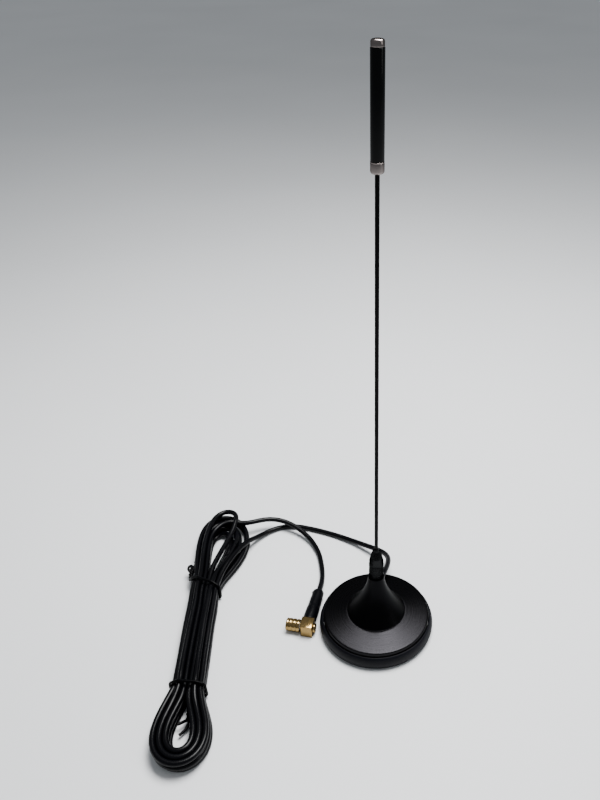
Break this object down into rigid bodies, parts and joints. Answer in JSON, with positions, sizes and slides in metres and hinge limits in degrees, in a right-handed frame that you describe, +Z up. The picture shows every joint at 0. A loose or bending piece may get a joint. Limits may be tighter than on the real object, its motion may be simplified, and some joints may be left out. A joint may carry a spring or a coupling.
{
  "type": "magnetic mount whip aerial",
  "caption": "Whip aerial with a loading coil on a round magnetic base, with a coaxial lead tied in a hank and a right-angle push-on plug.",
  "frame": {"origin": "centre of the base's flat underside", "axes": "+Z up along the whip; the lead leaves the neck towards +Y and the hank lies at -X"},
  "size_m": [0.1296, 0.1623, 0.2743],
  "materials": {
    "black_rubber": "matte, slightly soft",
    "cable_jacket": "satin black vinyl",
    "tie_plastic": "satin black coating on wire",
    "heat_shrink": "satin black shrink tubing",
    "black_anodised": "satin black over turned metal",
    "brushed_black": "turned, dark anodised, with a fan-shaped sheen",
    "black_paint": "thin satin black coating",
    "gloss_black": "glossy black tube",
    "nickel_plate": "bright nickel plate",
    "gold_plate": "gold plate, fine machining",
    "brass": "turned brass",
    "tinned_metal": "tin plate",
    "zinc_plate": "zinc plate",
    "ferrite": "ground ferrite",
    "copper": "enamelled copper wire",
    "white_plastic": "natural insulating plastic"
  },
  "bodies": {
    "base": {"base_pad": "black_rubber", "rubber_boot": "black_rubber", "ring_magnet": "ferrite", "magnet_yoke": "zinc_plate", "cover_disc": "brushed_black", "neck": "black_anodised", "cable_grommet": "black_rubber", "insulator_bush": "white_plastic", "contact_stud": "brass", "solder_lug": "tinned_metal", "stud_nut": "brass", "neck_screw_1": "zinc_plate", "neck_screw_2": "zinc_plate", "neck_screw_3": "zinc_plate", "earth_lug": "tinned_metal", "lock_washer_2": "tinned_metal", "lock_washer_3": "tinned_metal", "cable_run": "cable_jacket", "cable_hank": "cable_jacket", "cable_tail": "cable_jacket", "tie_upper": "tie_plastic", "tie_lower": "tie_plastic", "plug_sleeve": "heat_shrink", "plug_crimp": "gold_plate", "plug_body": "gold_plate", "plug_cap": "gold_plate", "plug_barrel": "gold_plate", "plug_insulator": "white_plastic", "plug_contact": "gold_plate"},
    "seal": {"whip_seal": "black_rubber"},
    "whip": {"whip_ferrule": "black_anodised", "whip_rod": "black_paint", "coil_lower_cap": "nickel_plate", "coil_tube": "gloss_black", "top_cap": "nickel_plate", "coil_former": "white_plastic", "loading_coil": "copper"}
  },
  "joints": [
    {"name": "whip_lift", "type": "slide", "parent": "base", "child": "seal", "axis": [0, 0, 1], "range_m": [0, 0.0063]},
    {"name": "whip_turn", "type": "hinge", "parent": "seal", "child": "whip", "pos_m": [0, 0, 0.0405], "axis": [0, 0, 1], "range_deg": [0, 3240]}
  ],
  "couplings": [
    {"joint": "whip_turn", "follows": "whip_lift", "rad_per_m": 8976}
  ]
}
